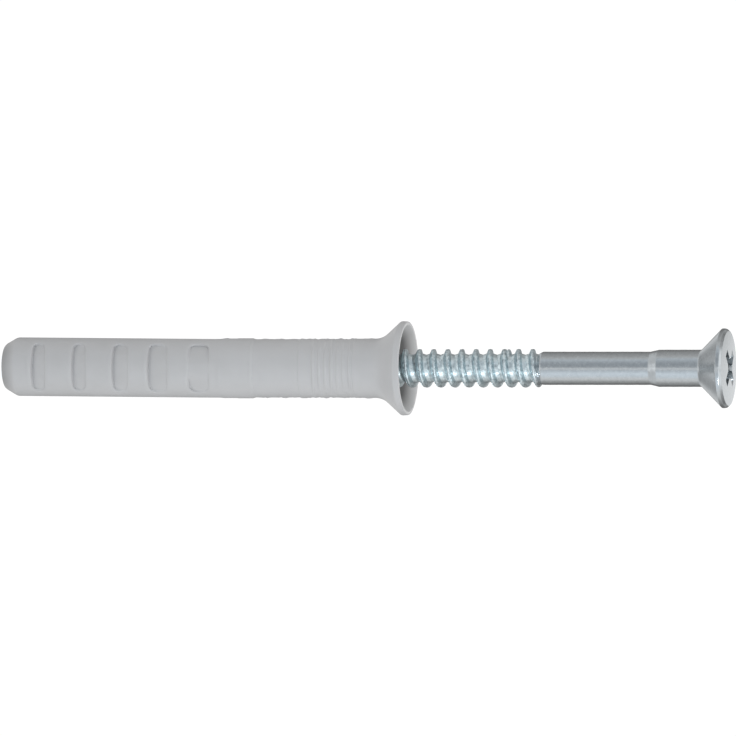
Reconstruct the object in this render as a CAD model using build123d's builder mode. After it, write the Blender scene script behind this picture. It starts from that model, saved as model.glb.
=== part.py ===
from build123d import *
import os

# Hammer-set wall anchor: a plastic frame plug with two expansion legs, and the nail screw that
# is driven into its bore.
#
# The anchor's axis is X. The legs reach into the wall, towards -X, and the nail's head stands
# out of it, towards +X. The origin is on the axis, where the plug's straight shank meets the
# underside of the countersunk collar. The slit between the legs lies in the XZ plane, so the
# front leg opens towards -Y and the back leg towards +Y. All sizes are in millimetres.

os.makedirs("parts", exist_ok=True)

# Plug: the straight shank that fills the drilled hole
SHANK_RADIUS = 4.0
PLUG_TIP_X = -51.0
TIP_RADIUS = 2.98
TIP_TAPER_LENGTH = 1.75
LEG_ROOT_X = -18.6
BAND_START_X = -22.3
BAND_END_X = -16.2
BAND_RADIUS = 4.06
TUBE_END_X = -9.7
TUBE_RADIUS = 3.94
NECK_RADIUS = 3.98

# Plug: circumferential grip ribs on the neck
RIB_COUNT = 7
RIB_PITCH = 0.84
RIB_RADIUS = 4.05
RIB_BASE_WIDTH = 0.5
RIB_FLANK_ANGLE = 60
RIB_ROOT_DEPTH = 0.1
RIBS_START_X = -7.95
RIBS_END_X = -2.05

# Plug: collar and its funnel mouth
FLARE_START_X = 0.4
FLARE_RADIUS = 3.0
COUNTERSINK_ANGLE = 45
COLLAR_RADIUS = 6.35
COLLAR_RIM_X = 4.8
RIM_EDGE_FILLET = 0.15
FUNNEL_RADIUS = 5.875
BORE_RADIUS = 2.72

# Legs: the slit, and the channel that the nail wedges open. The channel drifts across the
# slit towards the tip, so that each leg swings out in step with the nail as the nail passes.
SLIT_WIDTH = 0.8
CHANNEL_RADIUS = 2.715
SPREAD_PER_TRAVEL = 0.000797
TRAVEL_TO_LEG_ROOT = 6.4
CHANNEL_OVERRUN = 1.0

# Legs: moulded pockets on the outer skin, from the tip towards the root
POCKET_EDGES_X = (-46.7, -41.1, -35.5, -30.55, -24.95)
POCKET_WIDTHS = (2.0, 2.05, 2.3, 2.85, 3.2)
POCKET_RAMPS = (0.15, 0.15, 0.15, 0.15, 1.1)
POCKET_HEIGHT = 6.3
POCKET_CORNER = 0.8
POCKET_DEPTH = 0.65

# Nail screw: point, core and thread
NAIL_TIP_X = -12.2
NAIL_TIP_RADIUS = 0.9
POINT_END_X = -10.9
CORE_RADIUS = 1.82
CORE_END_X = 23.3
THREAD_START_X = -10.2
THREAD_END_X = 22.9
THREAD_PITCH = 1.95
THREAD_RADIUS = 2.665
THREAD_BASE_WIDTH = 1.2
THREAD_CREST_WIDTH = 0.35
THREAD_ROOT_DEPTH = 0.1

# Nail screw: the two shanks and the countersunk head
THIN_SHANK_START_X = 23.8
THIN_SHANK_END_X = 38.1
THIN_SHANK_RADIUS = 2.235
THICK_SHANK_START_X = 39.6
THICK_SHANK_RADIUS = 2.5
HEAD_CONE_END_X = 48.2
HEAD_RADIUS = 5.37
HEAD_LAND_END_X = 48.6
HEAD_SHOULDER_X = 48.88
HEAD_SHOULDER_RADIUS = 5.2
HEAD_TOP_X = 49.15

# Nail screw: cross recess
RECESS_SPAN = 5.8
RECESS_FLOOR_SPAN = 2.4
RECESS_WING_WIDTH = 1.05
RECESS_WING_ANGLES = (45, 135)
RECESS_DEPTH = 2.4
RECESS_CORE_RADIUS = 1.15


def channel_offset(distance):
    """How far the channel's centre has drifted, at a distance from the leg's root."""
    return SPREAD_PER_TRAVEL * distance * (distance + TRAVEL_TO_LEG_ROOT)


# Sleeve: neck, grip ribs and countersunk collar, fixed in the wall
with BuildPart() as plug_sleeve:
    with BuildSketch(Plane.XZ) as sleeve_section:
        with BuildLine() as sleeve_outline:
            skin = Polyline(
                (LEG_ROOT_X, BORE_RADIUS),
                (LEG_ROOT_X, BAND_RADIUS),
                (BAND_END_X, BAND_RADIUS),
                (BAND_END_X, TUBE_RADIUS),
                (TUBE_END_X, TUBE_RADIUS),
                (TUBE_END_X, NECK_RADIUS),
                (RIBS_START_X, NECK_RADIUS),
                (RIBS_START_X, TUBE_RADIUS),
                (RIBS_END_X, TUBE_RADIUS),
                (RIBS_END_X, NECK_RADIUS),
                (FLARE_START_X, NECK_RADIUS),
            )
            flare = JernArc(skin @ 1, (1, 0), FLARE_RADIUS, COUNTERSINK_ANGLE)
            cone_rise = COLLAR_RADIUS - (flare @ 1).Y
            cone = PolarLine(flare @ 1, cone_rise, COUNTERSINK_ANGLE, length_mode=LengthMode.VERTICAL)
            mouth = Polyline(
                cone @ 1,
                (COLLAR_RIM_X, COLLAR_RADIUS),
                (COLLAR_RIM_X, FUNNEL_RADIUS),
                (COLLAR_RIM_X - (FUNNEL_RADIUS - BORE_RADIUS), BORE_RADIUS),
                (LEG_ROOT_X, BORE_RADIUS),
            )
        make_face()
    revolve(axis=Axis.X)
    with BuildSketch(Plane.XZ) as rib_sections:
        with Locations(((RIBS_START_X + RIBS_END_X) / 2, TUBE_RADIUS - RIB_ROOT_DEPTH)):
            with GridLocations(RIB_PITCH, 0, RIB_COUNT, 1):
                Trapezoid(
                    RIB_BASE_WIDTH,
                    RIB_RADIUS - TUBE_RADIUS + RIB_ROOT_DEPTH,
                    RIB_FLANK_ANGLE,
                    align=(Align.CENTER, Align.MIN),
                )
    revolve(axis=Axis.X)
    rim_edges = plug_sleeve.edges().filter_by(GeomType.CIRCLE).group_by(Axis.X)[-1]
    fillet(rim_edges.sort_by(SortBy.RADIUS)[-1], RIM_EDGE_FILLET)
plug_sleeve.part.label = "plug_sleeve"
export_step(plug_sleeve.part, "parts/plug_sleeve.step")

# The shape of the pockets: rings with a steep side towards the tip and a ramp towards the root,
# kept only where a rounded window on the leg's face lets the mould in
with BuildPart() as pocket_mould:
    with BuildSketch(Plane.XZ) as pocket_rings:
        for edge_x, width, ramp in zip(POCKET_EDGES_X, POCKET_WIDTHS, POCKET_RAMPS):
            with BuildLine():
                Polyline(
                    (edge_x, SHANK_RADIUS - POCKET_DEPTH),
                    (edge_x, SHANK_RADIUS + POCKET_DEPTH),
                    (edge_x + width + ramp, SHANK_RADIUS + POCKET_DEPTH),
                    (edge_x + width - ramp, SHANK_RADIUS - POCKET_DEPTH),
                    close=True,
                )
            make_face()
    revolve(axis=Axis.X)
    with BuildSketch(Plane.XZ) as pocket_windows:
        for edge_x, width in zip(POCKET_EDGES_X, POCKET_WIDTHS):
            with Locations((edge_x + width / 2, 0)):
                RectangleRounded(width, POCKET_HEIGHT, POCKET_CORNER)
    extrude(amount=SHANK_RADIUS + POCKET_DEPTH, mode=Mode.INTERSECT)

# Front leg: half of the slit shank, with the nail's channel inside and the pockets outside. Its
# skin swells slightly to meet the sleeve's raised band at the root
with BuildPart() as expansion_leg_front:
    with BuildSketch(Plane.XZ) as leg_section:
        with BuildLine():
            Polyline(
                (LEG_ROOT_X, 0),
                (LEG_ROOT_X, BAND_RADIUS),
                (BAND_START_X, SHANK_RADIUS),
                (PLUG_TIP_X + TIP_TAPER_LENGTH, SHANK_RADIUS),
                (PLUG_TIP_X, TIP_RADIUS),
                (PLUG_TIP_X, 0),
                close=True,
            )
        make_face()
    revolve(axis=Axis.X)
    split(bisect_by=Plane.XZ.offset(SLIT_WIDTH / 2), keep=Keep.TOP)
    leg_length = LEG_ROOT_X - PLUG_TIP_X
    channel_stations = (-CHANNEL_OVERRUN, leg_length / 2, leg_length + CHANNEL_OVERRUN)
    with BuildLine() as channel_path:
        ThreePointArc(*[(LEG_ROOT_X - station, channel_offset(station)) for station in channel_stations])
    with BuildSketch(Plane(origin=channel_path.line @ 0, z_dir=channel_path.line % 0)) as channel_section:
        Circle(CHANNEL_RADIUS)
    sweep(path=channel_path.line, mode=Mode.SUBTRACT)
    add(pocket_mould.part, mode=Mode.SUBTRACT)
expansion_leg_front.part.label = "expansion_leg_front"
export_step(expansion_leg_front.part, "parts/expansion_leg_front.step")

# Back leg: the front leg's mirror image
with BuildPart() as expansion_leg_back:
    mirror(expansion_leg_front.part, about=Plane.XZ)
expansion_leg_back.part.label = "expansion_leg_back"
export_step(expansion_leg_back.part, "parts/expansion_leg_back.step")

# Nail screw: turned body, helical thread and cross recess
with BuildPart() as nail_screw:
    with BuildSketch(Plane.XZ) as nail_section:
        with BuildLine() as nail_outline:
            side = Polyline(
                (NAIL_TIP_X, 0),
                (NAIL_TIP_X, NAIL_TIP_RADIUS),
                (POINT_END_X, CORE_RADIUS),
                (CORE_END_X, CORE_RADIUS),
                (THIN_SHANK_START_X, THIN_SHANK_RADIUS),
                (THIN_SHANK_END_X, THIN_SHANK_RADIUS),
                (THICK_SHANK_START_X, THICK_SHANK_RADIUS),
                (HEAD_CONE_END_X - (HEAD_RADIUS - THICK_SHANK_RADIUS), THICK_SHANK_RADIUS),
                (HEAD_CONE_END_X, HEAD_RADIUS),
                (HEAD_LAND_END_X, HEAD_RADIUS),
                (HEAD_SHOULDER_X, HEAD_SHOULDER_RADIUS),
            )
            dome_top = (HEAD_TOP_X, 0)
            dome = TangentArc(dome_top, side @ 1, tangent=(0, 1))
            Line(dome_top, side @ 0)
        make_face()
    revolve(axis=Axis.X)
    thread_length = THREAD_END_X - THREAD_START_X
    with BuildLine() as thread_path:
        helix = Helix(THREAD_PITCH, thread_length, CORE_RADIUS, (THREAD_START_X, 0, 0), (1, 0, 0))
    radial = (helix @ 0) - Vector(THREAD_START_X, 0, 0)
    with BuildSketch(Plane(origin=helix @ 0, x_dir=radial, z_dir=helix % 0)) as thread_section:
        with BuildLine():
            Polyline(
                (-THREAD_ROOT_DEPTH, -THREAD_BASE_WIDTH / 2),
                (THREAD_RADIUS - CORE_RADIUS, -THREAD_CREST_WIDTH / 2),
                (THREAD_RADIUS - CORE_RADIUS, THREAD_CREST_WIDTH / 2),
                (-THREAD_ROOT_DEPTH, THREAD_BASE_WIDTH / 2),
                close=True,
            )
        make_face()
    sweep(path=helix, is_frenet=True)
    for wing_angle in RECESS_WING_ANGLES:
        with BuildSketch(Plane.XY.rotated((wing_angle, 0, 0))) as wing_section:
            with BuildLine():
                Polyline(
                    (HEAD_TOP_X, -RECESS_SPAN / 2),
                    (HEAD_TOP_X, RECESS_SPAN / 2),
                    (HEAD_TOP_X - RECESS_DEPTH, RECESS_FLOOR_SPAN / 2),
                    (HEAD_TOP_X - RECESS_DEPTH, -RECESS_FLOOR_SPAN / 2),
                    close=True,
                )
            make_face()
        extrude(amount=RECESS_WING_WIDTH / 2, both=True, mode=Mode.SUBTRACT)
    with BuildSketch(Plane.YZ.offset(HEAD_TOP_X)) as recess_core:
        Circle(RECESS_CORE_RADIUS)
    extrude(amount=-RECESS_DEPTH, mode=Mode.SUBTRACT)
nail_screw.part.label = "nail_screw"
export_step(nail_screw.part, "parts/nail_screw.step")
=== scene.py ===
import math

import bmesh
import bpy
import numpy as np
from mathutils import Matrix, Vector


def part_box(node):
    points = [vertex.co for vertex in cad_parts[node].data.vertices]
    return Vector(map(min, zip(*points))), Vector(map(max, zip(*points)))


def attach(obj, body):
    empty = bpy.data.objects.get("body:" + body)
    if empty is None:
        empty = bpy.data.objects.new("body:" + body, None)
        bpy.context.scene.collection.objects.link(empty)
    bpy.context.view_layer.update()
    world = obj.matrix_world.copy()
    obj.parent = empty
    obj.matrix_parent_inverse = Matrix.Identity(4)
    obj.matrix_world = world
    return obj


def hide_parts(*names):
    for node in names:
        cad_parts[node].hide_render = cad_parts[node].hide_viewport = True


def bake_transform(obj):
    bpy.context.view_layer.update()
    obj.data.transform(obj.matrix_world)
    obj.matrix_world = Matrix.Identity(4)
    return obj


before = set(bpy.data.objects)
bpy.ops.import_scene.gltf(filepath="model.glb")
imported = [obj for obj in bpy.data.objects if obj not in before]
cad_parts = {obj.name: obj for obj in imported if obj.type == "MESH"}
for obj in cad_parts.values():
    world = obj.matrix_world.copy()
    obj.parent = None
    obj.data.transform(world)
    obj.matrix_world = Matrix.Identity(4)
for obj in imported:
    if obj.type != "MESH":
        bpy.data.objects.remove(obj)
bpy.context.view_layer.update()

# The visible wall anchor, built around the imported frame. Lengths in this script are in
# millimetres until a mesh or a shader is made. The anchor's axis is X, with the plug's tip at -X
# and the nail's head at +X.
MM = 0.001


# ---------------------------------------------------------------- sizes, from the frame
def box_mm(node):
    """The lowest and highest corners of a CAD node, in millimetres."""
    low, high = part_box(node)
    return np.array(low) / MM, np.array(high) / MM


leg_low, leg_high = box_mm("expansion_leg_front")
_, sleeve_high = box_mm("plug_sleeve")
nail_low, nail_high = box_mm("nail_screw")

TIP_X = leg_low[0]
ROOT_X = leg_high[0]
HINGE_R = -leg_low[1]  # the legs' hinge lines lie on their outermost skin
RIM_X = sleeve_high[0]
COLLAR_R = sleeve_high[2]
NAIL_TIP_X = nail_low[0]
NAIL_TOP_X = nail_high[0]

# Plug: neck and collar
BORE_R = 2.72
SKIN_R = 4.0  # the straight shank
BAND_X = (-20.7, -16.15)  # the raised band over the legs' roots
BAND_R = 4.06
TUBE_R = 3.93  # the neck between its raised parts
STEP_X = -9.65  # where the neck steps up, before the ribs
NECK_R = 3.985
RIB_COUNT = 7
RIB_PITCH = 0.84
RIB_FIRST_X = -7.56
RIB_R = 4.06
RIB_WIDTH = 0.5
RIB_CREST = 0.14  # the flat top's width
RIB_END_X = -2.0
RIB_BOW = 0.45  # how far ribs and steps lean back on their way to the parting line
FLARE_X = 0.4  # where the collar begins to flare
FUNNEL_R = 5.875  # at the funnel's mouth
FLASH_WIDTH = 0.11
PARTING_DEGREES = (90.0, 270.0)
BURR_DEGREES = (180.0, 206.0)  # the part of the funnel's lip with the burrs
BURRS = (
    # degrees round the axis, half width in degrees, height
    (184.5, 1.4, 0.3),
    (194.0, 1.1, 0.24),
    (202.0, 1.6, 0.3),
)

# Plug: legs
SLIT_HALF = 0.4
SLIT_CLOSED = 0.01  # half the width left at its closed end, so that the mesh stays sound
CHANNEL_R = 2.715
SPREAD_PER_TRAVEL = 0.000797  # radians that a leg opens for each millimetre of the nail's travel
TRAVEL_TO_ROOT = 6.4  # the nail's travel before its point reaches the legs' roots
LEG_TUCK_X = -17.7  # the legs' inner ends, tucked into the neck
BEND_END_X = -22.5  # each leg bends from its root to here
LEG_LIFT = 0.0085  # how far the skin bows upwards, for each millimetre beyond the bend
LIFT_R = (2.72, 2.8)  # the channel stays straight, and the skin outside it bows
TIP_R = 2.98
TAPER = 1.75  # length of the tip's taper
TAPER_SOFT = 0.35  # half the length of the soft turn from the taper to the shank
TIP_EDGE = (0.45, 0.15)  # length and height of the rounding at the tip's end
SKIN_POINTS = 151
BAND_RIDGE = (0.02, 0.3)  # height and half width of the ridge where the band steps down
NIB_X = -20.2  # a small nib of flash on the front leg's upper edge
NIB_HEIGHT = 0.1
POCKET_HALF_HEIGHT = 3.15
POCKET_CORNER = 0.65
POCKET_BOW = 0.36
POCKET_ROUND = (0.55, 0.26)  # reach and depth of the rolled lip
POCKET_WALL = 0.12  # width of the steep wall under the lip
POCKET_DEPTHS = (0.8, 0.14)  # at the left edge and at the right edge
POCKETS = (
    # left and right edges
    (-46.65, -44.68),
    (-41.05, -39.05),
    (-35.45, -33.2),
    (-30.5, -27.7),
    (-24.9, -21.95),
)

# Nail
CORE_R = 1.82
CREST_R = 2.62
PITCH = 1.954
CREST_TOP_X = 6.37  # where one crest crosses the nail's top line
THREAD_X = (-10.4, 23.6)
REAR_FLANK = (-0.37, -0.07)  # where a flank begins and ends, in pitches from the crest's middle
FRONT_FLANK = (0.09, 0.29)
THREAD_FILLET = 0.16  # height of the fillet beside a crest, nothing at the root's middle
BRUISE_X = 18.7  # a knock on the top line doubles one crest
THIN_R = 2.235
THICK_R = 2.5
SHANK_START_X = (22.7, 23.4)
THICKENING_X = (38.25, 39.4)
HEAD_CONE_X = 45.27
HEAD_R = 5.37
HEAD_LAND_X = 48.6
SHOULDER_X = 48.92
SHOULDER_R = 5.05
FACE_DROP = 0.005  # how far the dome's top lies inside the nail's box
RECESS_TURN = math.radians(45.0)
RECESS_REACH = 2.9  # from the axis to a wing's end
RECESS_DEPTH = 2.35
RECESS_END_RUN = 1.35  # length over which a wing's end slopes down to the floor
RECESS_SIDES = (0.585, 0.645)  # half a wing's width at the floor and at the face
RECESS_CORE_R = 1.25
# The face's mesh lines on each side of the axis are closest at the recess's side walls
FACE_LINES = (
    0.0, 0.2, 0.4, 0.53, RECESS_SIDES[0], 0.61, RECESS_SIDES[1], 0.7, 0.85, 1.0, 1.2, 1.5, 1.8,
    2.1, 2.5, RECESS_REACH, 3.1,
)
FACE_RINGS = 7


# ---------------------------------------------------------------- mesh helpers
def ease(low, high, value):
    """0 below low, 1 above high, and a smooth step between them."""
    t = np.clip((value - low) / (high - low), 0.0, 1.0)
    return t * t * (3.0 - 2.0 * t)


def wobble(seed, *coordinates, octaves=3):
    """Smooth repeatable noise between about -1 and 1, from a few sine waves."""
    rng = np.random.default_rng(seed)
    total = 0.0
    for octave in range(octaves):
        phase = rng.uniform(0.0, 2.0 * np.pi)
        for coordinate in coordinates:
            phase = phase + coordinate * rng.uniform(0.7, 1.3) * 1.9**octave
        total = total + np.sin(phase + rng.uniform(0.0, 2.0 * np.pi)) / 1.5**octave
    return total / 2.0


def rounded_path(corners, step):
    """Points along a path through corners (x, r, fillet radius), no further apart than step."""
    points = np.array([corner[:2] for corner in corners], float)
    path = [points[0]]
    for i in range(1, len(corners) - 1):
        before, here, after = points[i - 1], points[i], points[i + 1]
        radius = corners[i][2]
        run_in = (before - here) / np.linalg.norm(before - here)
        run_out = (after - here) / np.linalg.norm(after - here)
        half = math.acos(np.clip(run_in @ run_out, -1.0, 1.0)) / 2.0
        if radius <= 0.0 or half > math.pi / 2.0 - 0.01:
            path.append(here)
            continue
        limit = 0.49 * min(np.linalg.norm(before - here), np.linalg.norm(after - here))
        reach = min(radius / math.tan(half), limit)
        start, end = here + run_in * reach, here + run_out * reach
        for t in np.linspace(0.0, 1.0, 7):
            path.append((1 - t) ** 2 * start + 2 * t * (1 - t) * here + t**2 * end)
    path.append(points[-1])
    dense = [path[0]]
    for start, end in zip(path[:-1], path[1:]):
        pieces = max(1, math.ceil(np.linalg.norm(end - start) / step))
        for k in range(1, pieces + 1):
            dense.append(start + (end - start) * k / pieces)
    return np.array(dense)


def mesh_object(name, vertices, faces, sharp_degrees):
    """A smooth-shaded object with outward normals, sharp where its faces turn by more than that."""
    mesh = bpy.data.meshes.new(name)
    mesh.from_pydata((np.asarray(vertices) * MM).tolist(), [], faces)
    mesh.validate()
    work = bmesh.new()
    work.from_mesh(mesh)
    bmesh.ops.triangulate(work, faces=[f for f in work.faces if len(f.verts) > 4])
    bmesh.ops.recalc_face_normals(work, faces=work.faces)
    work.to_mesh(mesh)
    work.free()
    mesh.shade_smooth()
    mesh.set_sharp_from_angle(angle=math.radians(sharp_degrees))
    piece = bpy.data.objects.new(name, mesh)
    bpy.context.scene.collection.objects.link(piece)
    return piece


def lattice_faces(stations, around, closed_stations):
    """Quads over a lattice of stations by points around; closed stations join last to first."""
    index = np.arange(stations * around).reshape(stations, around)
    follow = np.roll(index, -1, axis=0) if closed_stations else index[1:]
    here = index if closed_stations else index[:-1]
    quads = np.stack([here, np.roll(here, -1, 1), np.roll(follow, -1, 1), follow], axis=-1)
    return quads.reshape(-1, 4).tolist()


def ring_faces(first, second):
    """Quads between two rings of as many vertices, given by their indices."""
    return np.stack([first, np.roll(first, -1), np.roll(second, -1), second], -1).tolist()


def cap_faces(outer, inner, angle):
    """Triangles that close the band between two chains of points, which run the same way round."""
    faces = []
    i = j = 0
    while i < len(outer) - 1 or j < len(inner) - 1:
        outer_next = angle[outer[i + 1]] if i < len(outer) - 1 else math.inf
        inner_next = angle[inner[j + 1]] if j < len(inner) - 1 else math.inf
        if outer_next < inner_next:
            faces.append([outer[i], inner[j], outer[i + 1]])
            i += 1
        else:
            faces.append([outer[i], inner[j], inner[j + 1]])
            j += 1
    return faces


# ---------------------------------------------------------------- plug: neck and collar
def neck_profile():
    """The neck's and collar's closed section: out along the skin, back through the funnel."""
    corners = [
        (ROOT_X, BORE_R, 0.0),
        (ROOT_X, BAND_R, 0.0),
        (BAND_X[1] - 0.1, BAND_R, 0.25),
        (BAND_X[1] + 0.25, TUBE_R, 0.25),
        (STEP_X, TUBE_R, 0.04),
        (STEP_X + 0.07, NECK_R, 0.04),
    ]
    for k in range(RIB_COUNT):
        middle = RIB_FIRST_X + k * RIB_PITCH
        crest_r = RIB_R + 0.03 * math.cos(2.1 * k)
        corners += [
            (middle - RIB_WIDTH / 2, TUBE_R, 0.05),
            (middle - RIB_CREST / 2, crest_r, 0.06),
            (middle + RIB_CREST / 2, crest_r, 0.06),
            (middle + RIB_WIDTH / 2, TUBE_R, 0.05),
        ]
    corners += [
        (RIB_END_X - 0.12, TUBE_R, 0.04),
        (RIB_END_X - 0.05, NECK_R, 0.05),
        (FLARE_X + 0.95, NECK_R + 0.02, 2.9),
        (RIM_X - 0.84, COLLAR_R - 0.01, 0.8),
        (RIM_X - 0.62, COLLAR_R, 0.4),
        (RIM_X, COLLAR_R - 0.04, 0.14),
        (RIM_X, FUNNEL_R, 0.12),
        (RIM_X - (FUNNEL_R - BORE_R), BORE_R, 0.35),
        (ROOT_X, BORE_R, 0.0),
    ]
    # The last point is the first one again
    return rounded_path(corners, 0.28)[:-1]


def neck_angles():
    """Angles round the neck, finer about the two parting lines and along the burrs."""
    degrees = set(np.round(np.linspace(0.0, 360.0, 120, endpoint=False), 4))
    for centre in PARTING_DEGREES:
        degrees = {d for d in degrees if abs((d - centre + 180.0) % 360.0 - 180.0) > 3.0}
        for offset in np.linspace(-3.0, 3.0, 13):
            degrees.add(round((centre + offset) % 360.0, 4))
    angles = np.radians(sorted(degrees))
    fine = np.radians(np.arange(*BURR_DEGREES, 0.7))
    plain = (angles < fine[0]) | (angles > fine[-1])
    return np.unique(np.concatenate([angles[plain], fine]))


def flash_height(x, seed):
    """How far the moulding's parting line stands proud at x."""
    rough = wobble(seed, x * 2.6, octaves=3)
    return 0.01 + 0.1 * np.clip(rough + 0.1, 0.0, 1.0)


def build_neck():
    """The neck, ribs, collar and funnel: a section turned round the axis, with a moulding's flaws."""
    profile = neck_profile()
    angles = neck_angles()
    x = np.repeat(profile[:, :1], len(angles), axis=1)
    r = np.repeat(profile[:, 1:], len(angles), axis=1)
    upward, outward = np.sin(angles)[None, :], np.abs(np.cos(angles))[None, :]
    skin = (r > SKIN_R - 0.2) & (r > x - 0.3)

    # Ribs lower and rougher towards the parting line, and a scarred skin beside it
    ribs_end = ease(RIB_END_X - 0.3, RIB_END_X, x)
    ribbed = ease(RIB_FIRST_X - 0.7, RIB_FIRST_X - 0.4, x) * (1.0 - ribs_end)
    patchy = 0.62 + 0.38 * wobble(21, x * 2.1, upward * 5.0)
    low = ease(0.62, 0.98, np.abs(upward)) * 0.6 + 0.2 * np.clip(patchy, 0.0, 1.0)
    r = np.where(skin, r - ribbed * low * (r - TUBE_R), r)
    scar = wobble(31, x * 6.1, upward * 21.0, octaves=3) * ease(0.72, 0.93, np.abs(upward))
    scarred = ease(BAND_X[1] + 1.0, BAND_X[1] + 4.0, x) * (1.0 - ease(-1.5, 0.5, x))
    r = r + np.where(skin, 0.035 * scar * scarred, 0.0)

    # Flash along the two parting lines, fading at the band and at the collar
    fade = ease(BAND_X[1] - 0.6, BAND_X[1] + 2.0, x) * (1.0 - ease(FLARE_X - 1.5, FLARE_X + 1.5, x))
    for centre, seed in zip(PARTING_DEGREES, (5, 9)):
        across = (angles - math.radians(centre))[None, :] * SKIN_R
        ridge = np.exp(-((across / FLASH_WIDTH) ** 2)) * flash_height(x, seed)
        r = r + np.where(skin, ridge * fade, 0.0)

    # The ribs and steps lean back towards the parting line
    bowed = ease(ROOT_X + 0.4, ROOT_X + 1.6, x) * (1.0 - ease(RIB_END_X, RIB_END_X + 1.8, x))
    x = x - np.where(skin, RIB_BOW * bowed * (1.0 - outward), 0.0)

    # Three small burrs on the funnel's inner lip
    lip = np.exp(-(((r - FUNNEL_R + 0.05) / 0.12) ** 2)) * (x > RIM_X - 0.4)
    for degrees, width, height in BURRS:
        nearness = np.exp(-(((np.degrees(angles)[None, :] - degrees) / width) ** 2))
        r = r - lip * height * nearness
    grid = np.stack([x, r * np.cos(angles), r * np.sin(angles)], axis=-1)
    faces = lattice_faces(len(profile), len(angles), True)
    return mesh_object("plug_neck_and_collar", grid.reshape(-1, 3), faces, 38.0)


# ---------------------------------------------------------------- plug: expansion legs
def leg_radius(x):
    """The leg's outer radius: the tip's taper, the shank and the raised band at the root."""
    band = ease(BAND_X[0] - 0.5, BAND_X[0] + 0.2, x) * (BAND_R - SKIN_R)
    # The end tucked into the neck is a little slimmer than the neck's skin
    tucked = ease(ROOT_X - 0.02, ROOT_X + 0.12, x) * 0.03
    slope = (SKIN_R - TIP_R) / TAPER
    inside = TIP_X + TAPER - x
    turning = np.clip(inside + TAPER_SOFT, 0.0, None) ** 2 / (4 * TAPER_SOFT)
    drop = slope * np.where(inside > TAPER_SOFT, inside, turning)
    edge_length, edge_height = TIP_EDGE
    edge = np.clip((TIP_X + edge_length - x) / edge_length, 0.0, 1.0)
    rounding = edge_height * (1.0 - np.sqrt(np.clip(1.0 - edge**2, 0.0, 1.0)))
    return SKIN_R + band - tucked - drop - rounding


def slit_half(x):
    """Half the slit's width, closing to a hair's width round its root."""
    root_centre = ROOT_X - SLIT_HALF
    inside = np.clip(x - root_centre, 0.0, SLIT_HALF)
    return np.sqrt(np.clip(SLIT_HALF**2 - inside**2, SLIT_CLOSED**2, None))


def pocket_depth(k, share, z):
    """How deep pocket k's floor lies below the skin, a share of the way to its right edge."""
    deep, shallow = POCKET_DEPTHS
    slope = deep + (shallow - deep) * share
    if k < len(POCKETS) - 1:
        upper = 0.22 * ease(0.5, 0.9, z / POCKET_HALF_HEIGHT)
        return (slope + upper) * (1.0 - 0.4 * (z / POCKET_HALF_HEIGHT) ** 4)
    # The pocket nearest the root is shallow in the middle and deep at its upper end, and only its
    # lower end slopes like the others
    upper = 0.1 + 0.55 * np.clip((z - 0.6) / 2.2, 0.0, 1.0)
    return upper + 0.75 * (slope - shallow) * ease(0.5, 2.2, -z)


def sink(x, z):
    """How far the skin is sunk towards the axis by the pockets, at x and heights z."""
    sunk = np.zeros_like(z)
    reach, roll = POCKET_ROUND
    for k, (left, right) in enumerate(POCKETS):
        if not left - 1.0 < x < right + 1.5:
            continue
        bow = POCKET_BOW * (z / POCKET_HALF_HEIGHT) ** 2
        middle, half = (left + right) / 2, (right - left) / 2
        along = x - middle + np.where(x > middle, bow, 0.0)
        # Distance outside a rectangle with rounded corners, negative inside it
        box = np.stack([np.abs(along) - half, np.abs(z) - POCKET_HALF_HEIGHT]) + POCKET_CORNER
        beyond_corner = np.hypot(*np.clip(box, 0.0, None))
        outside = beyond_corner + np.clip(box.max(axis=0), None, 0.0) - POCKET_CORNER
        depth = pocket_depth(k, min(max((x - left) / (right - left), 0.0), 1.0), z)
        lip = np.minimum(roll, 0.6 * depth)
        near = np.clip(1.0 - outside / reach, 0.0, 1.0)
        rounding = lip * (1.0 - np.sqrt(1.0 - near**2 * 0.9999))
        wall_width = POCKET_WALL + 0.3 * ease(0.85, 1.05, np.abs(z) / POCKET_HALF_HEIGHT)
        wall = lip + (depth - lip) * ease(0.0, wall_width, -outside)
        sunk = np.maximum(sunk, np.where(outside > 0.0, rounding, wall))
    return sunk


def leg_stations():
    """Where the leg is sampled along X: closely at the tip, the pockets and the slit's root."""
    edge_length = TIP_EDGE[0]
    samples = [
        np.arange(TIP_X, LEG_TUCK_X + 0.01, 0.3),
        TIP_X + edge_length * np.linspace(0.0, 1.0, 9) ** 2,
        np.linspace(TIP_X + edge_length + 0.1, TIP_X + TAPER + 0.5, 20),
        np.linspace(BAND_X[0] - 0.12, BAND_X[0] + 0.14, 6),
        np.linspace(ROOT_X - SLIT_HALF, ROOT_X + 0.12, 12),
    ]
    for left, right in POCKETS:
        samples.append(np.arange(left - 0.45, left + 0.3, 0.035))
        samples.append(np.arange(left + 0.3, right - 0.6, 0.12))
        samples.append(np.arange(right - 0.6, right + 0.45, 0.045))
    stations = np.unique(np.round(np.concatenate(samples), 3))
    apart = np.concatenate([[True], np.diff(stations) > 0.012])
    return stations[apart]


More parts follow.
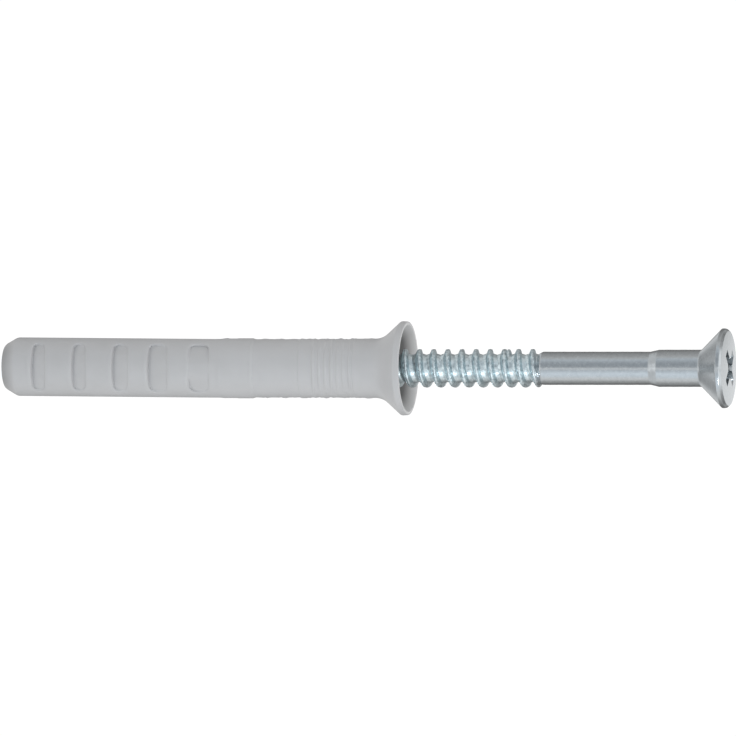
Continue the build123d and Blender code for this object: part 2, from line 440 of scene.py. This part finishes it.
def leg_loop(x):
    """The leg's section at x as (out, z) points: skin, edge, slit face, channel, face, edge."""
    radius = float(leg_radius(x))
    slit = float(slit_half(x))
    soft = min(0.13, 0.4 * slit)
    turn = math.acos((slit + soft) / radius)
    around = np.linspace(-turn, turn, SKIN_POINTS)
    skin = np.stack([radius * np.cos(around), radius * np.sin(around)], axis=-1)
    corner = np.array([slit, math.sqrt(radius**2 - slit**2)])
    finish = corner - np.array([0.0, soft])
    t = np.linspace(0.0, 1.0, 6)[1:, None]
    edge = (1 - t) ** 2 * skin[-1] + 2 * t * (1 - t) * corner + t**2 * finish
    depth = ROOT_X - x
    drift = SPREAD_PER_TRAVEL * depth * (depth + TRAVEL_TO_ROOT)
    mouth = math.acos((slit + drift) / CHANNEL_R)
    face = np.linspace(finish, (slit, CHANNEL_R * math.sin(mouth)), 5)[1:-1]
    channel = np.linspace(mouth, -mouth, 29)
    bore = np.stack([CHANNEL_R * np.cos(channel) - drift, CHANNEL_R * np.sin(channel)], axis=-1)
    flip = np.array([1.0, -1.0])
    return np.concatenate([skin, edge, face, bore, face[::-1] * flip, edge[::-1] * flip])


def build_leg(name, side):
    """One leg's moulding. side is -1 for the front leg, +1 for the back leg."""
    ridge_height, ridge_width = BAND_RIDGE
    stations = leg_stations()
    rings = []
    for x in stations:
        out, z = leg_loop(x).T.copy()
        skin_z = z[:SKIN_POINTS]
        out[:SKIN_POINTS] -= sink(x, skin_z)
        ridge_x = BAND_X[0] - POCKET_BOW * (skin_z / POCKET_HALF_HEIGHT) ** 2
        out[:SKIN_POINTS] += ridge_height * np.exp(-(((x - ridge_x) / ridge_width) ** 2))
        z += LEG_LIFT * max(BEND_END_X - x, 0.0) * ease(*LIFT_R, np.hypot(out, z))
        if side < 0:
            spread = (x - NIB_X) ** 2 + (skin_z - HINGE_R) ** 2 * 4
            z[:SKIN_POINTS] += NIB_HEIGHT * np.exp(-spread / 0.05)
        rings.append(np.stack([np.full(len(z), x), side * out, z], axis=-1))
    grid = np.array(rings)
    around = grid.shape[1]
    faces = lattice_faces(len(stations), around, False)
    angle = np.tile(np.arctan2(grid[0, :, 2], side * grid[0, :, 1]), len(stations))
    for start in (0, (len(stations) - 1) * around):
        outer = range(start, start + SKIN_POINTS)
        inner = range(start + around - 1, start + SKIN_POINTS - 1, -1)
        faces += cap_faces(outer, inner, angle)
    return mesh_object(name, grid.reshape(-1, 3), faces, 50.0)


# ---------------------------------------------------------------- nail screw
def face_x(radius):
    """Where the slightly domed face of the head lies, at a radius."""
    return NAIL_TOP_X - FACE_DROP - (NAIL_TOP_X - SHOULDER_X) * (radius / SHOULDER_R) ** 2


def nail_profile():
    """The nail's outline from its point to the edge of the domed face, without the thread."""
    corners = [
        (NAIL_TIP_X, 0.55, 0.0),
        (NAIL_TIP_X + 0.25, 0.9, 0.2),
        (NAIL_TIP_X + 1.5, CORE_R, 0.5),
        (SHANK_START_X[0], CORE_R, 0.4),
        (SHANK_START_X[1], THIN_R, 0.5),
        (THICKENING_X[0], THIN_R, 0.6),
        (THICKENING_X[1], THICK_R, 0.6),
        (HEAD_CONE_X, THICK_R, 0.5),
        (HEAD_CONE_X + HEAD_R - THICK_R, HEAD_R, 0.2),
        (HEAD_LAND_X, HEAD_R - 0.03, 0.25),
        (SHOULDER_X, SHOULDER_R, 0.14),
        (face_x(SHOULDER_R - 0.35), SHOULDER_R - 0.35, 0.0),
    ]
    path = rounded_path(corners, 0.35)

    # Closer stations along the thread
    thread = np.arange(THREAD_X[0] - 0.2, THREAD_X[1] + 0.4, 0.066)
    outside = (path[:, 0] < thread[0] - 0.03) | (path[:, 0] > thread[-1] + 0.03)
    under = np.interp(thread, path[:, 0], path[:, 1])
    path = np.concatenate([path[outside], np.stack([thread, under], axis=-1)])
    below_head = path[:, 0] < HEAD_LAND_X - 0.6
    body = path[below_head]
    body = body[np.argsort(body[:, 0])]
    return np.concatenate([body, path[~below_head]])


def thread_height(x, angle):
    """The thread's height above the core, at x and an angle round the axis."""
    turn = (x - CREST_TOP_X) / PITCH - (angle - math.pi / 2) / (2 * math.pi)
    lap = turn - np.round(turn)
    crest = CREST_R - CORE_R
    ridge = np.minimum(ease(*REAR_FLANK, lap), 1.0 - ease(*FRONT_FLANK, lap))
    fall = THREAD_FILLET * np.clip((np.abs(lap + 0.02) - 0.12) / 0.38, 0.0, 1.0) ** 2

    # On the crest: the seam where the rolled metal meets, the rounded top and small dents
    winding = np.round(turn) + (angle / (2 * math.pi))
    seam = 0.02 * np.exp(-((lap - 0.015) / 0.028) ** 2)
    crown = 0.1 * ((lap - 0.01) / 0.08) ** 2
    dents = 0.05 * np.clip(wobble(3, winding * 7.0, octaves=4) - 0.45, 0.0, 1.0)
    worn = (seam + dents + crown) * (ridge > 0.97)
    height = np.maximum(crest * ridge, THREAD_FILLET - fall) - worn
    begins = ease(THREAD_X[0], THREAD_X[0] + 1.2, x)
    ends = ease(THREAD_X[1] - 0.8, THREAD_X[1], x)
    across = ((x - BRUISE_X) / 0.3) ** 4 + ((angle - math.pi / 2) / 0.5) ** 2
    bruise = 0.93 * crest * np.exp(-across)
    return np.maximum(height * begins * (1.0 - ends), bruise)


def recess_depth(y, z):
    """Depth of the cross recess below the face, at a point of the face along its wings' axes."""
    floor_side, face_side = RECESS_SIDES
    depth = 0.0
    for along, across in ((np.abs(y), np.abs(z)), (np.abs(z), np.abs(y))):
        floor = np.clip((RECESS_REACH - along) / RECESS_END_RUN, 0.0, 1.0) * RECESS_DEPTH
        wall = np.clip((face_side - across) / (face_side - floor_side), 0.0, 1.0)
        depth = np.maximum(depth, floor * wall)
    core = np.clip((RECESS_CORE_R - np.hypot(y, z)) / 0.08, 0.0, 1.0) * RECESS_DEPTH
    return np.maximum(depth, core)


def face_patch():
    """The middle of the head's face, a square lattice: its points, its quads and its edge."""
    half = np.array(FACE_LINES)
    lines = np.concatenate([-half[:0:-1], half])
    y, z = np.meshgrid(lines, lines, indexing="ij")
    x = face_x(np.hypot(y, z)) - recess_depth(y, z)
    turned_y = y * math.cos(RECESS_TURN) - z * math.sin(RECESS_TURN)
    turned_z = y * math.sin(RECESS_TURN) + z * math.cos(RECESS_TURN)
    index = np.arange(len(lines) ** 2).reshape(len(lines), len(lines))
    edge = np.concatenate([index[:-1, 0], index[-1, :-1], index[:0:-1, -1], index[0, :0:-1]])
    quads = np.stack([index[:-1, :-1], index[1:, :-1], index[1:, 1:], index[:-1, 1:]], axis=-1)
    return np.stack([x, turned_y, turned_z], axis=-1).reshape(-1, 3), quads.reshape(-1, 4), edge


def build_nail():
    """The nail: its outline turned round the axis, the thread raised on it, and the head's face."""
    patch, patch_quads, patch_edge = face_patch()
    around = len(patch_edge)
    profile = nail_profile()
    angles = np.arange(around) * 2.0 * np.pi / around
    x = np.repeat(profile[:, :1], around, axis=1)
    r = np.repeat(profile[:, 1:], around, axis=1)
    threaded = (x > THREAD_X[0]) & (x < THREAD_X[1])
    crest = thread_height(x, np.ones_like(x) * angles)
    r = np.where(threaded, np.maximum(r, CORE_R + crest), r)
    r = r + 0.008 * wobble(11, x * 3.0, np.sin(angles)[None, :] * 4.0) * (x < HEAD_LAND_X - 4)
    body = np.stack([x, r * np.cos(angles), r * np.sin(angles)], axis=-1)
    vertices = [body.reshape(-1, 3), patch]
    faces = lattice_faces(len(profile), around, False)
    faces.append(list(range(around)))
    patch_start = len(profile) * around
    faces += (patch_quads + patch_start).tolist()

    # Rings from the patch's edge out to the body's last ring, whose points they match one to one
    edge_angle = np.arctan2(patch[patch_edge, 2], patch[patch_edge, 1])
    first = int(np.argmin(np.abs(edge_angle)))
    edge = np.roll(patch_edge, -first)
    edge_radius = np.hypot(patch[edge, 1], patch[edge, 2])
    edge_turn = np.unwrap(np.arctan2(patch[edge, 2], patch[edge, 1]))
    ring = edge + patch_start
    next_start = patch_start + len(patch)
    for k in range(1, FACE_RINGS):
        share = k / FACE_RINGS
        radius = edge_radius + (profile[-1, 1] - edge_radius) * share
        turn = edge_turn + (angles - edge_turn) * share
        vertices.append(np.stack([face_x(radius), radius * np.cos(turn), radius * np.sin(turn)], -1))
        next_ring = next_start + np.arange(around)
        faces += ring_faces(ring, next_ring)
        ring = next_ring
        next_start += around
    faces += ring_faces(ring, (len(profile) - 1) * around + np.arange(around))
    return mesh_object("nail_screw_zinc", np.concatenate(vertices), faces, 42.0)


# ---------------------------------------------------------------- shader helpers
def new_material(name):
    """A material with nodes, and its Principled shader."""
    material = bpy.data.materials.new(name)
    material.use_nodes = True
    return material, material.node_tree.nodes["Principled BSDF"]


def add_node(tree, kind, **settings):
    """A node of that kind; settings are its properties, or its input sockets by name."""
    node = tree.nodes.new(kind)
    for key, value in settings.items():
        if hasattr(node, key):
            setattr(node, key, value)
        else:
            node.inputs[key.replace("_", " ").title()].default_value = value
    return node


def feed(tree, value, socket):
    """Gives an input socket its value: an output socket to link, or a constant."""
    if isinstance(value, bpy.types.NodeSocket):
        tree.links.new(value, socket)
    else:
        socket.default_value = value


def separate(tree, vector):
    """The X, Y and Z of a vector."""
    node = add_node(tree, "ShaderNodeSeparateXYZ")
    tree.links.new(vector, node.inputs["Vector"])
    return node.outputs["X"], node.outputs["Y"], node.outputs["Z"]


def noise(tree, place, scale, detail, roughness):
    """Cloudy noise at a place."""
    node = add_node(tree, "ShaderNodeTexNoise", scale=scale, detail=detail, roughness=roughness)
    tree.links.new(place, node.inputs["Vector"])
    return node.outputs["Fac"]


def calculate(tree, operation, *values):
    """The result of a math node; each value is a socket or a number."""
    node = add_node(tree, "ShaderNodeMath", operation=operation)
    for value, socket in zip(values, node.inputs):
        feed(tree, value, socket)
    return node.outputs["Value"]


def carry(tree, value, start, end, to=(0.0, 1.0), interpolation_type="LINEAR"):
    """A value carried from the range start to end into another range, and kept within that."""
    node = add_node(tree, "ShaderNodeMapRange", interpolation_type=interpolation_type)
    node.inputs["From Min"].default_value = start
    node.inputs["From Max"].default_value = end
    node.inputs["To Min"].default_value, node.inputs["To Max"].default_value = to
    tree.links.new(value, node.inputs["Value"])
    return node.outputs["Result"]


def colour_ramp(tree, value, stops, interpolation="LINEAR"):
    """The colour and alpha of a ramp along a value, through (position, colour) stops."""
    node = add_node(tree, "ShaderNodeValToRGB")
    node.color_ramp.interpolation = interpolation
    elements = node.color_ramp.elements
    while len(elements) < len(stops):
        elements.new(0.5)
    for element, (position, colour) in zip(elements, stops):
        element.position = position
        element.color = colour
    tree.links.new(value, node.inputs["Fac"])
    return node.outputs["Color"], node.outputs["Alpha"]


def blend_colours(tree, share, first, second):
    """A colour that goes from first to second as share goes from 0 to 1."""
    node = add_node(tree, "ShaderNodeMix", data_type="RGBA")
    tree.links.new(share, node.inputs["Factor"])
    # Sockets 6, 7 and 2 are the colour ones; those before them are for floats and vectors
    feed(tree, first, node.inputs[6])
    feed(tree, second, node.inputs[7])
    return node.outputs[2]


def bump(tree, height, strength, distance, normal=None):
    """A normal tilted by a height from 0 to 1, which stands for distance in millimetres."""
    node = add_node(tree, "ShaderNodeBump", strength=strength, distance=distance * MM)
    tree.links.new(height, node.inputs["Height"])
    if normal is not None:
        tree.links.new(normal, node.inputs["Normal"])
    return node.outputs["Normal"]


# ---------------------------------------------------------------- materials
PALER_X = (-42.0, -6.0)  # the nylon grows paler from the first to the second
FUNNEL_DEPTH = 2.2  # the funnel's painted shade is at its darkest this far below the rim
FUNNEL_PAINTED_SHADE = (
    # share of the way up to the rim, brightness of the painted shade
    (0.0, 0.13),
    (0.35, 0.20),
    (0.75, 0.60),
    (1.0, 0.78),
)
TIP_SHADE_LENGTH = 1.8  # the tip's painted shade runs over this length
ROLLED_RUN = 1.2  # the rolled thread's finish goes over to the drawn shank's in this length


def nylon_material():
    """Grey moulded nylon, paler towards the collar, with painted shade down the funnel and at the
    tip.
    """
    material, shader = new_material("moulded_nylon_grey")
    tree = material.node_tree
    place = add_node(tree, "ShaderNodeTexCoord").outputs["Object"]
    x = separate(tree, place)[0]

    cloud = noise(tree, place, 260.0, 4.0, 0.55)
    colour, _ = colour_ramp(tree, cloud, (
        (0.3, (0.552, 0.552, 0.554, 1.0)),
        (0.7, (0.584, 0.584, 0.588, 1.0)),
    ))
    fresh = carry(tree, x, PALER_X[0] * MM, PALER_X[1] * MM, to=(0.0, 0.16))
    colour = blend_colours(tree, fresh, colour, (0.80, 0.80, 0.805, 1.0))

    # Painted shade: the funnel's wall darkens with depth, where the nail's shadow and the bore's
    # occlusion fall
    # On the funnel's wall the radius less x has one value, and on the skin it is larger
    across = add_node(tree, "ShaderNodeVectorMath", operation="MULTIPLY")
    tree.links.new(place, across.inputs[0])
    across.inputs[1].default_value = (0.0, 1.0, 1.0)
    radius = add_node(tree, "ShaderNodeVectorMath", operation="LENGTH")
    tree.links.new(across.outputs["Vector"], radius.inputs[0])
    above_funnel = calculate(tree, "SUBTRACT", radius.outputs["Value"], x)
    wall = FUNNEL_R - RIM_X
    in_funnel = carry(tree, above_funnel, (wall + 0.325) * MM, (wall + 0.125) * MM)
    height = carry(tree, x, (RIM_X - FUNNEL_DEPTH) * MM, RIM_X * MM)
    funnel_painted_shade, _ = colour_ramp(tree, height, [
        (share, (level, level * 0.99, level * 0.985, 1.0)) for share, level in FUNNEL_PAINTED_SHADE
    ])
    colour = blend_colours(tree, in_funnel, colour, funnel_painted_shade)
    # Painted shade: the nylon darkens towards the tip's end, where it turns away from the light
    tip_painted_shade = carry(tree, x, (TIP_X + TIP_SHADE_LENGTH) * MM, TIP_X * MM, to=(0.0, 0.45))
    colour = blend_colours(tree, tip_painted_shade, colour, (0.12, 0.12, 0.122, 1.0))
    tree.links.new(colour, shader.inputs["Base Color"])

    grain = noise(tree, place, 5200.0, 3.0, 0.6)
    swell = noise(tree, place, 700.0, 2.0, 0.5)
    fine = bump(tree, grain, 0.25, 0.02)
    tree.links.new(bump(tree, swell, 0.3, 0.05, normal=fine), shader.inputs["Normal"])
    tree.links.new(carry(tree, grain, 0.0, 1.0, to=(0.30, 0.43)), shader.inputs["Roughness"])
    shader.inputs["IOR"].default_value = 1.53
    shader.inputs["Specular IOR Level"].default_value = 0.42
    return material


def zinc_material():
    """Bright zinc plating: blue-grey on the drawn shank and head, paler and duller on the thread."""
    material, shader = new_material("bright_zinc_plating")
    tree = material.node_tree
    place = add_node(tree, "ShaderNodeTexCoord").outputs["Object"]
    x = separate(tree, place)[0]
    rolled_end = SHANK_START_X[1]
    rolled = carry(
        tree, x, rolled_end * MM, (rolled_end - ROLLED_RUN) * MM, interpolation_type="SMOOTHSTEP",
    )

    cloud = noise(tree, place, 2200.0, 5.0, 0.65)
    drawn_tint, _ = colour_ramp(tree, cloud, (
        (0.3, (0.465, 0.495, 0.515, 1.0)),
        (0.72, (0.545, 0.58, 0.60, 1.0)),
    ))
    rolled_tint, _ = colour_ramp(tree, cloud, (
        (0.36, (0.47, 0.55, 0.58, 1.0)),
        (0.62, (0.80, 0.90, 0.93, 1.0)),
    ))
    colour = blend_colours(tree, rolled, drawn_tint, rolled_tint)
    tree.links.new(colour, shader.inputs["Base Color"])

    # Fine grain all over, and broad scuffs on the thread only
    grain = noise(tree, place, 6500.0, 4.0, 0.7)
    scuff = noise(tree, place, 1300.0, 2.0, 0.5)
    fine = bump(tree, grain, 0.3, 0.01)
    broad = bump(tree, calculate(tree, "MULTIPLY", scuff, rolled), 0.5, 0.09, normal=fine)
    tree.links.new(broad, shader.inputs["Normal"])
    shine = carry(tree, cloud, 0.0, 1.0, to=(0.18, 0.32))
    duller = calculate(tree, "MULTIPLY_ADD", rolled, 0.11, shine)
    tree.links.new(duller, shader.inputs["Roughness"])
    shader.inputs["Metallic"].default_value = 1.0
    return material


# ---------------------------------------------------------------- stage, lights and camera
# Lengths in this section are in metres
FLOOR_Z = -0.1
FLOOR_RADIUS = 1.5
CAMERA_AZIMUTH = 13.0
CAMERA_DISTANCE = 2.7555
CAMERA_TARGET = (-0.00078, 0.0, 0.00004)
LENS = 1000.0
LIGHTS = (
    # name, place, size, watts
    ("soft_key", (0.36, -0.885, -0.715), (0.32, 0.32), 8.5),
    ("left_strip", (-0.84, -0.86, 0.04), (0.12, 0.9), 0.55),
    ("right_strip", (0.78, -0.86, -0.2), (0.14, 1.1), 0.9),
)
# The soft light wraps round the anchor's axis: angles from the front (0) over the top (90) to
# the back (180), and from the front under the bottom (-90), with the brightness there.
ROOM_LIGHT = (
    (-180, 0.24), (-140, 0.22), (-112, 0.48), (-78, 1.0), (-52, 1.08), (-37, 1.18), (-22, 0.92),
    (-8, 0.62), (8, 0.50), (26, 0.48), (42, 0.58), (58, 0.78), (75, 0.69), (92, 0.52), (115, 0.45),
    (132, 0.32), (150, 0.24), (180, 0.24),
)
COOL_WITHIN = 60  # degrees from the front within which that light is a little bluer
# Towards its two ends the room has its own brightness: direction along X, brightness, share
END_LIGHT = (
    (-1.0, 0.74, 1.0), (-0.96, 0.70, 1.0), (-0.90, 0.50, 1.0), (-0.80, 0.48, 1.0),
    (-0.68, 0.72, 1.0), (-0.52, 0.90, 1.0), (-0.38, 0.95, 0.0), (0.10, 0.75, 0.0),
    (0.17, 0.75, 0.5), (0.30, 0.75, 0.5), (0.40, 0.75, 0.0), (0.78, 1.20, 0.0),
    (0.88, 1.30, 1.0), (1.0, 1.35, 1.0),
)
HORIZON_Z = -0.055  # the middle of the white horizon, as a direction's height
HORIZON_FADE = (0.08, 0.12)  # how far from it the white begins and ends to fade


def build_floor():
    """A wide white disc under the anchor, which neither lights it nor shows in it."""
    material, shader = new_material("stage_white")
    shader.inputs["Base Color"].default_value = (0.9, 0.9, 0.9, 1.0)
    shader.inputs["Roughness"].default_value = 0.9
    shader.inputs["Emission Color"].default_value = (1.0, 1.0, 1.0, 1.0)
    shader.inputs["Emission Strength"].default_value = 0.45
    turns = np.linspace(0.0, 2.0 * math.pi, 96, endpoint=False)
    rim = [(FLOOR_RADIUS * math.cos(t), FLOOR_RADIUS * math.sin(t), FLOOR_Z) for t in turns]
    mesh = bpy.data.meshes.new("floor")
    mesh.from_pydata(rim, [], [list(range(len(rim)))])
    mesh.materials.append(material)
    floor = bpy.data.objects.new("floor", mesh)
    floor.visible_diffuse = False
    floor.visible_glossy = False
    bpy.context.scene.collection.objects.link(floor)


def build_light(name, place, size, watts):
    """A rectangular light that faces the anchor."""
    light = bpy.data.lights.new(name, "AREA")
    light.shape = "RECTANGLE"
    light.size, light.size_y = size
    light.energy = watts
    lamp = bpy.data.objects.new(name, light)
    lamp.location = place
    lamp.rotation_mode = "QUATERNION"
    lamp.rotation_quaternion = (-Vector(place)).to_track_quat("-Z", "Y")
    bpy.context.scene.collection.objects.link(lamp)


def build_room():
    """A soft room: brightness by the angle round the anchor's axis, and a white horizon."""
    world = bpy.data.worlds.new("soft_room")
    bpy.context.scene.world = world
    world.use_nodes = True
    tree = world.node_tree
    x, y, z = separate(tree, add_node(tree, "ShaderNodeTexCoord").outputs["Generated"])
    turn = calculate(tree, "ARCTAN2", z, calculate(tree, "MULTIPLY", y, -1.0))
    stops = []
    for degrees, level in ROOM_LIGHT:
        cool = 0.06 if abs(degrees) < COOL_WITHIN else -0.015
        colour = (level * (1.0 - cool), level, level * (1.0 + cool), 1.0)
        stops.append(((degrees + 180.0) / 360.0, colour))
    around, _ = colour_ramp(tree, carry(tree, turn, -math.pi, math.pi), stops, "EASE")
    end_stops = []
    for direction, level, share in END_LIGHT:
        end_stops.append(((direction + 1.0) / 2.0, (level, level, level, share)))
    ends, end_share = colour_ramp(tree, carry(tree, x, -1.0, 1.0), end_stops)
    room = blend_colours(tree, end_share, around, ends)
    away = calculate(tree, "ABSOLUTE", calculate(tree, "ADD", z, -HORIZON_Z))
    horizon = carry(tree, away, *HORIZON_FADE, to=(1.0, 0.0), interpolation_type="SMOOTHSTEP")
    room = blend_colours(tree, horizon, room, (1.05, 1.05, 1.05, 1.0))
    tree.links.new(room, tree.nodes["Background"].inputs["Color"])


def build_camera():
    """The camera, level with the anchor and turned a little towards the nail's head."""
    camera = bpy.data.cameras.new("photo_view")
    camera.sensor_width = 36.0
    camera.lens = LENS
    camera.clip_start, camera.clip_end = 0.01, 30.0
    eye = bpy.data.objects.new("photo_view", camera)
    turn = math.radians(CAMERA_AZIMUTH)
    back = Vector((math.sin(turn), -math.cos(turn), 0.0))
    eye.location = Vector(CAMERA_TARGET) + back * CAMERA_DISTANCE
    eye.rotation_mode = "QUATERNION"
    eye.rotation_quaternion = (-back).to_track_quat("-Z", "Y")
    bpy.context.scene.collection.objects.link(eye)
    bpy.context.scene.camera = eye


# ---------------------------------------------------------------- put it together
nylon = nylon_material()
zinc = zinc_material()

neck = build_neck()
neck.data.materials.append(nylon)
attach(neck, "plug")
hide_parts("plug_sleeve")

for name, side, body, node in (
    ("plug_leg_front", -1, "leg_front", "expansion_leg_front"),
    ("plug_leg_back", 1, "leg_back", "expansion_leg_back"),
):
    leg = build_leg(name, side)
    leg.data.materials.append(nylon)
    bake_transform(leg)
    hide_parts(node)

nail = build_nail()
nail.data.materials.append(zinc)
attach(nail, "nail")
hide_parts("nail_screw")

build_floor()
build_room()
for name, place, size, watts in LIGHTS:
    build_light(name, place, size, watts)
build_camera()
bpy.context.scene.view_settings.view_transform = "Standard"
